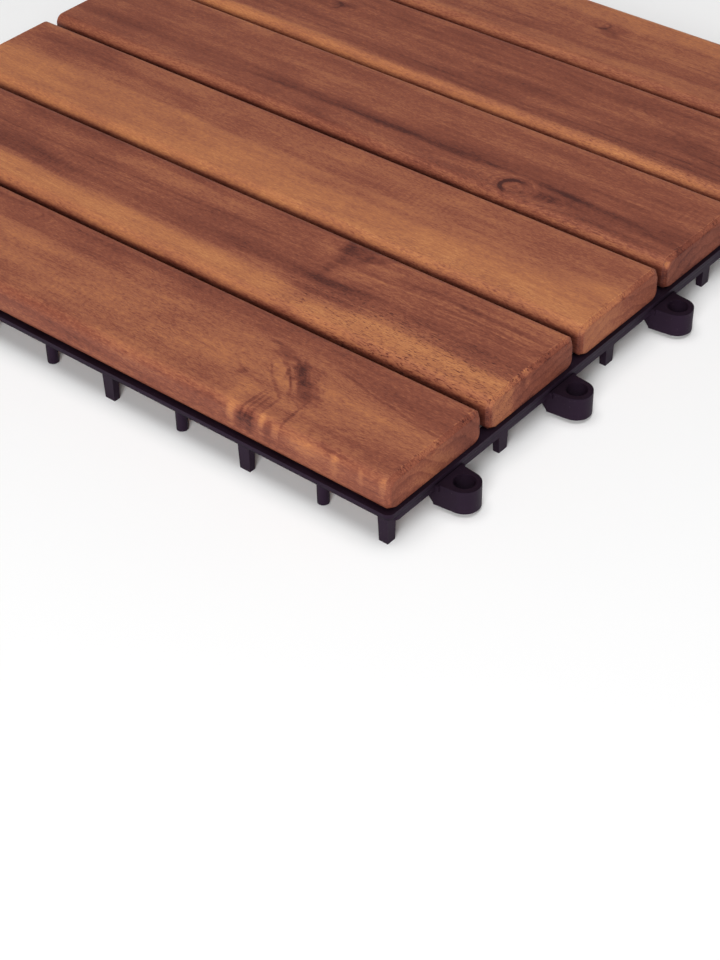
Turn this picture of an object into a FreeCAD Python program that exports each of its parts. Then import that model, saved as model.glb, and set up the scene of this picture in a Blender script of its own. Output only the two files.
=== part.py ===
import FreeCAD, Part
import math
import os
import Sketcher

# An interlocking deck tile: six hardwood slats screwed from below to one moulded grid.
# The frame is in millimetres, with its origin on the ground under the middle of the grid,
# the slats along X and +Z up. Eyelets stand out from the +X and +Y sides. On the -X and -Y
# sides pegs hang under the rim, where they drop into the eyelets of the next tile.

DIMENSIONS = (
    ("cell_pitch", 30.0, "pitch of the ribs, both ways"),
    ("eyelet_count", 5, "eyelets along a side, one every second cell"),
    ("slat_count", 6, "slats across the tile"),
    ("rim_relief", 1.0, "how much the rim's side is shorter than its cells together"),
    ("rim_width", 5.0, "width of the rim's top plate in plan"),
    ("rim_thickness", 1.8, "thickness of the rim's top plate"),
    ("rim_corner_radius", 2.6, "plan radius of the rim's corners"),
    ("base_height", 12.0, "from the ground to the top of the grid"),
    ("web_depth", 4.3, "height of the ribs"),
    ("rib_thickness", 1.8, "thickness of the ribs"),
    ("skirt_inset", 0.4, "step from the rim's edge back to the skirt, on the eyelet sides"),
    ("skirt_thickness", 1.9, "thickness of the skirt"),
    ("rail_inset", 3.3, "from the rim's edge back to the rail, on the peg sides"),
    ("joint_gap", 2.0, "gap between the rims of two joined tiles"),
    ("eyelet_reach", 5.9, "from the rim's edge out to the middle of an eyelet's hole"),
    ("eyelet_hole_radius", 3.65, "radius of an eyelet's hole"),
    ("eyelet_wall", 1.85, "wall around an eyelet's hole"),
    ("eyelet_root_flare", 0.85, "how much wider an eyelet is at its root, on each side"),
    ("eyelet_drop", 0.2, "from the underside of the rim down to an eyelet's top"),
    ("eyelet_lift", 1.4, "from the ground up to an eyelet's underside"),
    ("gusset_length", 6.0, "how far an eyelet's side walls run back under the skirt"),
    ("collar_length", 1.4, "length of the thicker root of an eyelet"),
    ("collar_step", 0.5, "how much an eyelet's root stands out on each side"),
    ("notch_clearance", 0.9, "room around an eyelet in the next tile's rail"),
    ("peg_radius", 2.0, "radius of a peg"),
    ("peg_lift", 0.5, "from the ground up to a peg's tip"),
    ("foot_length", 4.7, "length of an edge foot, along the rim"),
    ("foot_thickness", 2.9, "thickness of an edge foot, across the rim"),
    ("eyelet_side_inset", 1.1, "from the rim's edge back to a foot, on the eyelet sides"),
    ("peg_side_inset", 0.6, "from the rim's edge back to a foot, on the peg sides"),
    ("corner_foot", 4.0, "side of a corner foot"),
    ("inner_foot", 4.2, "side of an inner foot"),
    ("foot_draft", 1.4, "draft of the feet, in degrees"),
    ("pad_side", 9.4, "side of a square screw pad"),
    ("pad_thickness", 2.2, "thickness of a screw pad over its recess"),
    ("recess_side", 7.0, "side of the square recess for a screw's head"),
    ("screw_hole_radius", 1.65, "radius of the hole through a screw pad"),
    ("end_ledge", 1.2, "from the rim's edge back to the end of a slat"),
    ("slat_gap", 3.4, "gap between two slats"),
    ("slat_thickness", 12.0, "thickness of a slat"),
    ("slat_top_radius", 3.5, "radius of a slat's long edges on top"),
    ("slat_bottom_radius", 3.0, "radius of a slat's long edges underneath"),
    ("slat_end_ease", 1.5, "chamfer around a slat's ends"),
    ("pilot_radius", 1.4, "radius of the pilot holes in a slat"),
    ("pilot_depth", 9.6, "depth of the pilot holes"),
    ("screw_shank_radius", 1.3, "radius over the corners of a screw's plain shank"),
    ("screw_head_flats", 5.5, "width across the flats of a screw's head"),
    ("screw_head_height", 1.7, "height of a screw's head"),
    ("screw_length", 11.0, "length of a screw above its head"),
)

# Lengths that follow from the driving dimensions, as expressions on the sheet's cells.
MODULE = "(2 * Sizes.eyelet_count * Sizes.cell_pitch)"
HALF_SIDE = f"(({MODULE} - Sizes.rim_relief) / 2)"
FIRST_EYELET = "((Sizes.eyelet_count - 1) * Sizes.cell_pitch)"
TWO_CELLS = "(2 * Sizes.cell_pitch)"
RIM_UNDERSIDE = "(Sizes.base_height - Sizes.rim_thickness)"
WEB_UNDERSIDE = "(Sizes.base_height - Sizes.web_depth)"
SKIRT_FACE = f"({HALF_SIDE} - Sizes.skirt_inset)"
RAIL_FACE = f"({HALF_SIDE} - Sizes.rail_inset)"
EYELET_TOP = f"({RIM_UNDERSIDE} - Sizes.eyelet_drop)"
EYELET_HEIGHT = f"({EYELET_TOP} - Sizes.eyelet_lift)"
EYELET_RADIUS = "(Sizes.eyelet_hole_radius + Sizes.eyelet_wall)"
EYELET_ROOT = f"({EYELET_RADIUS} + Sizes.eyelet_root_flare)"
EYELET_CENTRE = f"({HALF_SIDE} + Sizes.eyelet_reach)"
PEG_CENTRE = f"({HALF_SIDE} - Sizes.eyelet_reach + Sizes.joint_gap)"
NOTCH_HALF_WIDTH = f"({EYELET_ROOT} + Sizes.notch_clearance)"
NOTCH_DEPTH = f"(Sizes.eyelet_reach + {EYELET_RADIUS} + Sizes.notch_clearance - Sizes.joint_gap)"
SLAT_PITCH = f"({MODULE} / Sizes.slat_count)"
SLAT_LENGTH = f"(2 * ({HALF_SIDE} - Sizes.end_ledge))"
SLAT_WIDTH = f"({SLAT_PITCH} - Sizes.slat_gap)"
FIRST_SLAT = f"(({MODULE} - {SLAT_PITCH}) / 2)"
SCREW_ROW = f"({MODULE} / 2 - Sizes.cell_pitch)"
SCREW_SEAT = "(Sizes.base_height - Sizes.pad_thickness)"
EYELET_SIDE_FOOT = f"({HALF_SIDE} - Sizes.eyelet_side_inset)"
PEG_SIDE_FOOT = f"({HALF_SIDE} - Sizes.peg_side_inset)"

doc = FreeCAD.newDocument("deck_tile")
sizes = doc.addObject("Spreadsheet::Sheet", "Sizes")


def fill_sheet():
    """Writes each driving dimension, its name and its meaning on a row of the sheet."""
    for row, (alias, number, meaning) in enumerate(DIMENSIONS, start=1):
        sizes.set(f"A{row}", alias)
        sizes.set(f"B{row}", str(number))
        sizes.set(f"C{row}", meaning)
        sizes.setAlias(f"B{row}", alias)
    doc.recompute()


def value(expression):
    """The number that an expression on the sheet gives."""
    return float(sizes.evalExpression(expression))


def new_body(label):
    body = doc.addObject("PartDesign::Body", label)
    body.Label = label
    return body


def origin_part(body, role):
    """The plane or axis of the body's own origin that has this role."""
    for feature in body.Origin.OriginFeatures:
        if feature.Role == role:
            return feature
    raise RuntimeError(f"{body.Name} has no {role}")


def new_sketch(body, name, plane, level):
    """A sketch on an origin plane, lifted along its normal to a level."""
    sketch = body.newObject("Sketcher::SketchObject", name)
    sketch.AttachmentSupport = [(origin_part(body, plane), "")]
    sketch.MapMode = "FlatFace"
    sketch.setExpression("AttachmentOffset.Base.z", level)
    return sketch


def bind(sketch, name, expression, kind, *places):
    """Adds a driving constraint and ties it to the sheet."""
    index = sketch.addConstraint(Sketcher.Constraint(kind, *places, value(expression)))
    sketch.renameConstraint(index, name)
    sketch.setExpression(f"Constraints.{name}", expression)


def add_outline(sketch, corners):
    """A closed outline of straight lines, each corner set by its two distances from the origin."""
    first = sketch.GeometryCount
    points = [FreeCAD.Vector(value(across), value(along), 0) for across, along in corners]
    count = len(points)
    for index, point in enumerate(points):
        sketch.addGeometry(Part.LineSegment(point, points[(index + 1) % count]), False)
    for index, (across, along) in enumerate(corners):
        line = first + index
        following = first + (index + 1) % count
        sketch.addConstraint(Sketcher.Constraint("Coincident", line, 2, following, 1))
        bind(sketch, f"across_{line}", across, "DistanceX", -1, 1, line, 1)
        bind(sketch, f"along_{line}", along, "DistanceY", -1, 1, line, 1)


def add_rectangle(sketch, left, right, bottom, top):
    """An upright rectangle between four distances from the sketch's origin."""
    first = sketch.GeometryCount
    x_low, x_high = value(left), value(right)
    y_low, y_high = value(bottom), value(top)
    corners = ((x_low, y_low), (x_high, y_low), (x_high, y_high), (x_low, y_high))
    points = [FreeCAD.Vector(x, y, 0) for x, y in corners]
    for index, point in enumerate(points):
        sketch.addGeometry(Part.LineSegment(point, points[(index + 1) % 4]), False)
    for index in range(4):
        following = first + (index + 1) % 4
        sketch.addConstraint(Sketcher.Constraint("Coincident", first + index, 2, following, 1))
    sketch.addConstraint(Sketcher.Constraint("Horizontal", first))
    sketch.addConstraint(Sketcher.Constraint("Horizontal", first + 2))
    sketch.addConstraint(Sketcher.Constraint("Vertical", first + 1))
    sketch.addConstraint(Sketcher.Constraint("Vertical", first + 3))
    bind(sketch, f"left_{first}", left, "DistanceX", -1, 1, first, 1)
    bind(sketch, f"bottom_{first}", bottom, "DistanceY", -1, 1, first, 1)
    bind(sketch, f"right_{first}", right, "DistanceX", -1, 1, first + 2, 1)
    bind(sketch, f"top_{first}", top, "DistanceY", -1, 1, first + 2, 1)


def add_square(sketch, across, along, side):
    """A square about a point that is set by its two distances from the origin."""
    half = f"({side} / 2)"
    spans = [(f"({place} - {half})", f"({place} + {half})") for place in (across, along)]
    add_rectangle(sketch, *spans[0], *spans[1])


def add_rounded_square(sketch, low, high, radius):
    """A square between two distances from the origin, both ways, with rounded corners."""
    first = sketch.GeometryCount
    near, far, ease = value(low), value(high), value(radius)
    middles = (
        (far - ease, near + ease, 270),
        (far - ease, far - ease, 0),
        (near + ease, far - ease, 90),
        (near + ease, near + ease, 180),
    )
    ends = []
    for x, y, start in middles:
        circle = Part.Circle(FreeCAD.Vector(x, y, 0), FreeCAD.Vector(0, 0, 1), ease)
        arc = Part.ArcOfCircle(circle, math.radians(start), math.radians(start + 90))
        sketch.addGeometry(arc, False)
        ends.append((arc.StartPoint, arc.EndPoint))
    for index in range(4):
        sketch.addGeometry(Part.LineSegment(ends[index][1], ends[(index + 1) % 4][0]), False)
    for index in range(4):
        arc, line, following = first + index, first + 4 + index, first + (index + 1) % 4
        sketch.addConstraint(Sketcher.Constraint("Tangent", arc, 2, line, 1))
        sketch.addConstraint(Sketcher.Constraint("Tangent", line, 2, following, 1))
        if index:
            sketch.addConstraint(Sketcher.Constraint("Equal", first, arc))
    right, top, left, bottom = first + 4, first + 5, first + 6, first + 7
    sketch.addConstraint(Sketcher.Constraint("Vertical", right))
    sketch.addConstraint(Sketcher.Constraint("Horizontal", top))
    sketch.addConstraint(Sketcher.Constraint("Vertical", left))
    sketch.addConstraint(Sketcher.Constraint("Horizontal", bottom))
    bind(sketch, f"radius_{first}", radius, "Radius", first)
    bind(sketch, f"right_{first}", high, "DistanceX", -1, 1, right, 1)
    bind(sketch, f"top_{first}", high, "DistanceY", -1, 1, top, 1)
    bind(sketch, f"left_{first}", low, "DistanceX", -1, 1, left, 1)
    bind(sketch, f"bottom_{first}", low, "DistanceY", -1, 1, bottom, 1)


def add_hexagon(sketch, corner, across, along):
    """A hexagon about a point, with two corners along X and this reach to its corners."""
    half = f"({corner} * sqrt(3) / 2)"
    add_outline(sketch, (
        (f"({across} + {corner})", along),
        (f"({across} + {corner} / 2)", f"({along} + {half})"),
        (f"({across} - {corner} / 2)", f"({along} + {half})"),
        (f"({across} - {corner})", along),
        (f"({across} - {corner} / 2)", f"({along} - {half})"),
        (f"({across} + {corner} / 2)", f"({along} - {half})"),
    ))


def add_circle(sketch, radius, across, along):
    """A circle about a point that is set by its two distances from the origin."""
    centre = FreeCAD.Vector(value(across), value(along), 0)
    circle = sketch.addGeometry(Part.Circle(centre, FreeCAD.Vector(0, 0, 1), value(radius)), False)
    bind(sketch, f"radius_{circle}", radius, "Radius", circle)
    bind(sketch, f"across_{circle}", across, "DistanceX", -1, 1, circle, 3)
    bind(sketch, f"along_{circle}", along, "DistanceY", -1, 1, circle, 3)


def new_pad(body, sketch, length, draft=None, downwards=False, midplane=False):
    pad = body.newObject("PartDesign::Pad", sketch.Name + "_pad")
    pad.Profile = sketch
    pad.Refine = False
    pad.Reversed = downwards
    pad.Midplane = midplane
    pad.setExpression("Length", length)
    if draft:
        pad.setExpression("TaperAngle", draft)
    sketch.Visibility = False
    return pad


def new_pocket(body, sketch, depth, upwards=False):
    pocket = body.newObject("PartDesign::Pocket", sketch.Name + "_pocket")
    pocket.Profile = sketch
    pocket.Refine = False
    pocket.Reversed = upwards
    pocket.setExpression("Length", depth)
    sketch.Visibility = False
    return pocket


def set_row(pattern, body, axis, spacing, count):
    pattern.Direction = (origin_part(body, axis), [""])
    pattern.Mode = "Spacing"
    pattern.setExpression("Offset", spacing)
    pattern.setExpression("Occurrences", count)


def repeat_field(body, name, features, pitch, count):
    """Repeats features along X and Y, with a pitch and a number for each."""
    pattern = body.newObject("PartDesign::LinearPattern", name)
    pattern.Originals = features
    pattern.Refine = False
    set_row(pattern, body, "X_Axis", pitch[0], count[0])
    pattern.Direction2 = (origin_part(body, "Y_Axis"), [""])
    pattern.Mode2 = "Spacing"
    pattern.Spacings2 = [-1.0]
    pattern.setExpression("Offset2", pitch[1])
    pattern.setExpression("Occurrences2", count[1])
    body.Tip = pattern
    doc.recompute()


def repeat_sides(body, name, features, count):
    """Repeats features in a row of two cells' pitch along Y, and the row on the next side."""
    pattern = body.newObject("PartDesign::MultiTransform", name)
    pattern.Originals = features
    pattern.Refine = False
    row = doc.addObject("PartDesign::LinearPattern", name + "_row")
    set_row(row, body, "Y_Axis", TWO_CELLS, count)
    turn = doc.addObject("PartDesign::PolarPattern", name + "_turn")
    turn.Axis = (origin_part(body, "Z_Axis"), [""])
    turn.Mode = "Spacing"
    turn.Offset = 90.0
    turn.Occurrences = 2
    pattern.Transformations = [row, turn]
    body.Tip = pattern
    doc.recompute()


def make_web():
    """Ribs across the slats, and half as many along them, inside a skirt, a rail and a rim."""
    body = new_body("web")
    sketch = new_sketch(body, "waffle", "XY_Plane", WEB_UNDERSIDE)
    inner = f"({SKIRT_FACE} - Sizes.skirt_thickness / 2)"
    low = f"(-{RAIL_FACE})"
    add_rectangle(sketch, low, inner, low, inner)
    new_pad(body, sketch, "Sizes.web_depth")

    sketch = new_sketch(body, "cell", "XY_Plane", "Sizes.base_height")
    near = f"(-{MODULE} / 2 + Sizes.rib_thickness / 2)"
    far_across = f"(-{MODULE} / 2 + Sizes.cell_pitch - Sizes.rib_thickness / 2)"
    far_along = f"(-{MODULE} / 2 + {TWO_CELLS} - Sizes.rib_thickness / 2)"
    add_rectangle(sketch, near, far_across, near, far_along)
    cell = new_pocket(body, sketch, "Sizes.web_depth")
    count = ("2 * Sizes.eyelet_count", "Sizes.eyelet_count")
    repeat_field(body, "cells", [cell], ("Sizes.cell_pitch", TWO_CELLS), count)

    sketch = new_sketch(body, "rim", "XY_Plane", RIM_UNDERSIDE)
    inner = f"({HALF_SIDE} - Sizes.rim_width)"
    add_rounded_square(sketch, f"(-{HALF_SIDE})", HALF_SIDE, "Sizes.rim_corner_radius")
    add_rectangle(sketch, f"(-{inner})", inner, f"(-{inner})", inner)
    new_pad(body, sketch, "Sizes.rim_thickness")

    sketch = new_sketch(body, "skirt", "XY_Plane", WEB_UNDERSIDE)
    corner = "(Sizes.rim_corner_radius - Sizes.skirt_inset)"
    add_rounded_square(sketch, f"(-{RAIL_FACE})", SKIRT_FACE, corner)
    low = f"(-{RAIL_FACE} + Sizes.skirt_thickness)"
    high = f"({SKIRT_FACE} - Sizes.skirt_thickness)"
    add_rectangle(sketch, low, high, low, high)
    new_pad(body, sketch, "(Sizes.web_depth - Sizes.rim_thickness)")

    sketch = new_sketch(body, "notch", "XY_Plane", RIM_UNDERSIDE)
    back = f"({NOTCH_DEPTH} - {HALF_SIDE})"
    low = f"(-{FIRST_EYELET} - {NOTCH_HALF_WIDTH})"
    high = f"(-{FIRST_EYELET} + {NOTCH_HALF_WIDTH})"
    add_rectangle(sketch, f"(-{HALF_SIDE})", back, low, high)
    notch = new_pocket(body, sketch, "Sizes.web_depth")
    doc.recompute()
    repeat_sides(body, "notches", [notch], "Sizes.eyelet_count")
    return body


def make_eyelets():
    """Flared arms that end round, with a hole, and with walls that run back as gussets."""
    body = new_body("eyelets")
    body.AllowCompound = True
    middle = f"(-{FIRST_EYELET})"
    root = f"({SKIRT_FACE} - Sizes.skirt_thickness / 2)"

    sketch = new_sketch(body, "arm", "XY_Plane", EYELET_TOP)
    add_arm_outline(sketch, root, middle)
    features = [new_pad(body, sketch, EYELET_HEIGHT, downwards=True)]

    sketch = new_sketch(body, "collar", "XY_Plane", EYELET_TOP)
    reach = f"({SKIRT_FACE} + Sizes.collar_length)"
    half = f"({EYELET_ROOT} + Sizes.collar_step)"
    add_rectangle(sketch, root, reach, f"({middle} - {half})", f"({middle} + {half})")
    features.append(new_pad(body, sketch, f"({EYELET_TOP} - {WEB_UNDERSIDE})", downwards=True))

    sketch = new_sketch(body, "hole", "XY_Plane", EYELET_TOP)
    add_circle(sketch, "Sizes.eyelet_hole_radius", EYELET_CENTRE, middle)
    features.append(new_pocket(body, sketch, EYELET_HEIGHT))

    for end in ("-", "+"):
        level = f"({FIRST_EYELET} {end} ({EYELET_ROOT} - Sizes.rib_thickness / 2))"
        name = "gusset_low" if end == "+" else "gusset_high"
        sketch = new_sketch(body, name, "XZ_Plane", level)
        back = f"({SKIRT_FACE} - Sizes.gusset_length)"
        face = f"({root} + Sizes.skirt_thickness / 4)"
        add_outline(sketch, (
            (face, "Sizes.eyelet_lift"),
            (face, EYELET_TOP),
            (back, EYELET_TOP),
            (back, WEB_UNDERSIDE),
        ))
        features.append(new_pad(body, sketch, "Sizes.rib_thickness", midplane=True))
    doc.recompute()
    repeat_sides(body, "all_eyelets", features, "Sizes.eyelet_count")
    return body


def add_arm_outline(sketch, root, middle):
    """The arm seen from above: a root line, two sides, and a round end tangent to both."""
    start = value(root)
    half = value(EYELET_ROOT)
    centre = value(EYELET_CENTRE)
    level = value(middle)
    radius = value(EYELET_RADIUS)
    tilt = math.atan2(half, centre - start)
    tilt -= math.asin(radius / math.hypot(centre - start, half))
    touch = FreeCAD.Vector(radius * math.sin(tilt), radius * math.cos(tilt), 0)
    hub = FreeCAD.Vector(centre, level, 0)
    low = FreeCAD.Vector(start, level - half, 0)
    high = FreeCAD.Vector(start, level + half, 0)
    high_touch = hub + touch
    low_touch = hub + FreeCAD.Vector(touch.x, -touch.y, 0)
    tip = hub + FreeCAD.Vector(radius, 0, 0)
    sketch.addGeometry(Part.LineSegment(high, low), False)
    sketch.addGeometry(Part.LineSegment(low, low_touch), False)
    sketch.addGeometry(Part.Arc(low_touch, tip, high_touch), False)
    sketch.addGeometry(Part.LineSegment(high_touch, high), False)
    root_line, low_side, end, high_side = 0, 1, 2, 3
    sketch.addConstraint(Sketcher.Constraint("Coincident", root_line, 2, low_side, 1))
    sketch.addConstraint(Sketcher.Constraint("Tangent", low_side, 2, end, 1))
    sketch.addConstraint(Sketcher.Constraint("Tangent", end, 2, high_side, 1))
    sketch.addConstraint(Sketcher.Constraint("Coincident", high_side, 2, root_line, 1))
    sketch.addConstraint(Sketcher.Constraint("Vertical", root_line))
    bind(sketch, "root_place", root, "DistanceX", -1, 1, root_line, 2)
    bind(sketch, "root_low", f"({middle} - {EYELET_ROOT})", "DistanceY", -1, 1, root_line, 2)
    bind(sketch, "root_high", f"({middle} + {EYELET_ROOT})", "DistanceY", -1, 1, root_line, 1)
    bind(sketch, "end_radius", EYELET_RADIUS, "Radius", end)
    bind(sketch, "end_across", EYELET_CENTRE, "DistanceX", -1, 1, end, 3)
    bind(sketch, "end_along", middle, "DistanceY", -1, 1, end, 3)


def make_pegs():
    """Round pegs under the rim of the other two sides."""
    body = new_body("pegs")
    body.AllowCompound = True
    across = f"(-{PEG_CENTRE})"
    middle = f"(-{FIRST_EYELET})"
    sketch = new_sketch(body, "peg", "XY_Plane", RIM_UNDERSIDE)
    add_circle(sketch, "Sizes.peg_radius", across, middle)
    peg = new_pad(body, sketch, f"({RIM_UNDERSIDE} - Sizes.peg_lift)", downwards=True)
    doc.recompute()
    repeat_sides(body, "all_pegs", [peg], "Sizes.eyelet_count")
    return body


def make_feet():
    """Plates along the rim half way between the joints, posts at the corners and inside."""
    body = new_body("feet")
    body.AllowCompound = True
    middle = f"(Sizes.cell_pitch - {FIRST_EYELET})"
    low = f"({middle} - Sizes.foot_length / 2)"
    high = f"({middle} + Sizes.foot_length / 2)"

    sketch = new_sketch(body, "eyelet_side_foot", "XY_Plane", RIM_UNDERSIDE)
    inner = f"({EYELET_SIDE_FOOT} - Sizes.foot_thickness)"
    add_rectangle(sketch, inner, EYELET_SIDE_FOOT, low, high)
    foot = new_edge_foot(body, sketch)
    repeat_sides(body, "eyelet_side_feet", [foot], "Sizes.eyelet_count - 1")

    sketch = new_sketch(body, "peg_side_foot", "XY_Plane", RIM_UNDERSIDE)
    inner = f"(Sizes.foot_thickness - {PEG_SIDE_FOOT})"
    add_rectangle(sketch, f"(-{PEG_SIDE_FOOT})", inner, low, high)
    foot = new_edge_foot(body, sketch)
    repeat_sides(body, "peg_side_feet", [foot], "Sizes.eyelet_count - 1")

    sketch = new_sketch(body, "corner_feet", "XY_Plane", RIM_UNDERSIDE)
    spans = (
        (f"(-{PEG_SIDE_FOOT})", f"(Sizes.corner_foot - {PEG_SIDE_FOOT})"),
        (f"({EYELET_SIDE_FOOT} - Sizes.corner_foot)", EYELET_SIDE_FOOT),
    )
    for left, right in spans:
        for bottom, top in spans:
            add_rectangle(sketch, left, right, bottom, top)
    new_edge_foot(body, sketch)

    sketch = new_sketch(body, "inner_foot", "XY_Plane", WEB_UNDERSIDE)
    add_square(sketch, middle, middle, "Sizes.inner_foot")
    foot = new_pad(body, sketch, WEB_UNDERSIDE, downwards=True)
    doc.recompute()
    count = "Sizes.eyelet_count - 1"
    repeat_field(body, "inner_feet", [foot], (TWO_CELLS, TWO_CELLS), (count, count))

    sketch = new_sketch(body, "middle_foot", "XY_Plane", WEB_UNDERSIDE)
    add_square(sketch, "0", "0", "Sizes.inner_foot")
    new_pad(body, sketch, WEB_UNDERSIDE, downwards=True)
    doc.recompute()
    return body


def new_edge_foot(body, sketch):
    """A foot that hangs from the rim and narrows a little towards the ground."""
    foot = new_pad(body, sketch, RIM_UNDERSIDE, draft="-Sizes.foot_draft", downwards=True)
    doc.recompute()
    return foot


def screw_field(body, name, features):
    """Repeats what belongs to one end of the first slat at both ends of every slat."""
    pitch = (f"(2 * {SCREW_ROW})", SLAT_PITCH)
    repeat_field(body, name, features, pitch, ("2", "Sizes.slat_count"))


def make_screw_pads():
    body = new_body("screw_pads")
    body.AllowCompound = True
    sketch = new_sketch(body, "pad", "XY_Plane", WEB_UNDERSIDE)
    add_square(sketch, f"(-{SCREW_ROW})", f"(-{FIRST_SLAT})", "Sizes.pad_side")
    pad = new_pad(body, sketch, "Sizes.web_depth")
    doc.recompute()
    screw_field(body, "all_pads", [pad])
    return body


def make_screw_bores():
    """The room that is cut out of the pads: a square recess for a head, a hole for a shank."""
    body = new_body("screw_bores")
    body.AllowCompound = True
    sketch = new_sketch(body, "recess", "XY_Plane", WEB_UNDERSIDE)
    add_square(sketch, f"(-{SCREW_ROW})", f"(-{FIRST_SLAT})", "Sizes.recess_side")
    recess = new_pad(body, sketch, "(Sizes.web_depth - Sizes.pad_thickness)")
    sketch = new_sketch(body, "passage", "XY_Plane", WEB_UNDERSIDE)
    add_circle(sketch, "Sizes.screw_hole_radius", f"(-{SCREW_ROW})", f"(-{FIRST_SLAT})")
    passage = new_pad(body, sketch, "Sizes.web_depth")
    doc.recompute()
    screw_field(body, "all_bores", [recess, passage])
    return body


def make_base_grid():
    """All of the moulding's features joined to one solid, then bored for the screws."""
    joined = doc.addObject("Part::MultiFuse", "joined")
    joined.Shapes = [make_web(), make_screw_pads(), make_eyelets(), make_pegs(), make_feet()]
    joined.Refine = False
    grid = doc.addObject("Part::Cut", "base_grid")
    grid.Base = joined
    grid.Tool = make_screw_bores()
    grid.Refine = True
    grid.Label = "base_grid"
    doc.recompute()
    return grid


def long_edges(shape, top):
    """Names of the edges along X at the top or at the bottom of a plain bar."""
    level = shape.BoundBox.ZMax if top else shape.BoundBox.ZMin
    names = []
    for index, edge in enumerate(shape.Edges, start=1):
        box = edge.BoundBox
        runs_along = box.XLength > box.YLength + box.ZLength
        if runs_along and abs(box.ZMin - level) < 1e-6:
            names.append(f"Edge{index}")
    return names


def end_edges(shape):
    """Names of the edges that bound the two end faces."""
    edges = enumerate(shape.Edges, start=1)
    return [f"Edge{index}" for index, edge in edges if edge.BoundBox.XLength < 1e-6]


def round_edges(body, name, edges, radius):
    base = body.Tip
    fillet = body.newObject("PartDesign::Fillet", name)
    fillet.Base = (base, edges)
    fillet.setExpression("Radius", radius)
    doc.recompute()


def make_slat(number):
    """One slat: a bar with rounded long edges and eased ends, drilled underneath."""
    body = new_body(f"slat_{number}")
    sketch = new_sketch(body, f"section_{number}", "YZ_Plane", "0")
    half = f"({SLAT_WIDTH} / 2)"
    place = f"({SLAT_PITCH} * {number - 1} - {FIRST_SLAT})"
    top = "(Sizes.base_height + Sizes.slat_thickness)"
    add_rectangle(sketch, f"({place} - {half})", f"({place} + {half})", "Sizes.base_height", top)
    new_pad(body, sketch, SLAT_LENGTH, midplane=True)
    doc.recompute()
    bar = body.Tip
    ends = body.newObject("PartDesign::Chamfer", f"ends_{number}")
    ends.Base = (bar, end_edges(bar.Shape))
    ends.setExpression("Size", "Sizes.slat_end_ease")
    doc.recompute()
    round_edges(body, f"top_{number}", long_edges(body.Shape, True), "Sizes.slat_top_radius")
    round_edges(body, f"bottom_{number}", long_edges(body.Shape, False), "Sizes.slat_bottom_radius")

    sketch = new_sketch(body, f"pilot_{number}", "XY_Plane", "Sizes.base_height")
    for row in (f"(-{SCREW_ROW})", SCREW_ROW):
        add_circle(sketch, "Sizes.pilot_radius", row, place)
    new_pocket(body, sketch, "Sizes.pilot_depth", upwards=True)
    doc.recompute()
    return body


def make_screws():
    """All the screws in one group: a hexagonal head and a shank at both ends of every slat."""
    body = new_body("screws")
    body.AllowCompound = True
    across = f"(-{SCREW_ROW})"
    along = f"(-{FIRST_SLAT})"
    sketch = new_sketch(body, "screw_head", "XY_Plane", SCREW_SEAT)
    add_hexagon(sketch, "(Sizes.screw_head_flats / sqrt(3))", across, along)
    head = new_pad(body, sketch, "Sizes.screw_head_height", downwards=True)
    sketch = new_sketch(body, "screw_shank", "XY_Plane", SCREW_SEAT)
    add_hexagon(sketch, "Sizes.screw_shank_radius", across, along)
    shank = new_pad(body, sketch, "Sizes.screw_length")
    doc.recompute()
    screw_field(body, "all_screws", [head, shank])
    return body


def check_document():
    """Stops if an object failed or a sub-part's shape is missing or not valid."""
    for item in doc.Objects:
        if "Invalid" in item.State or "Error" in item.State:
            raise RuntimeError(f"{item.Name} failed: {item.State}")


def write_part(body):
    shape = body.Shape
    if shape.isNull() or not shape.isValid():
        raise RuntimeError(f"{body.Label} has no valid shape")
    shape.exportStep(os.path.join("parts", f"{body.Label}.step"))
    print(f"{body.Label}: {len(shape.Solids)} solids, {shape.Volume:.0f} mm3")


os.makedirs("parts", exist_ok=True)
fill_sheet()
parts = [make_base_grid()]
for number in range(1, int(value("Sizes.slat_count")) + 1):
    parts.append(make_slat(number))
parts.append(make_screws())
doc.recompute()
check_document()
for part in parts:
    write_part(part)
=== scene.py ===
import math

import bpy
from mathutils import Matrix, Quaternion, Vector


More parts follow.
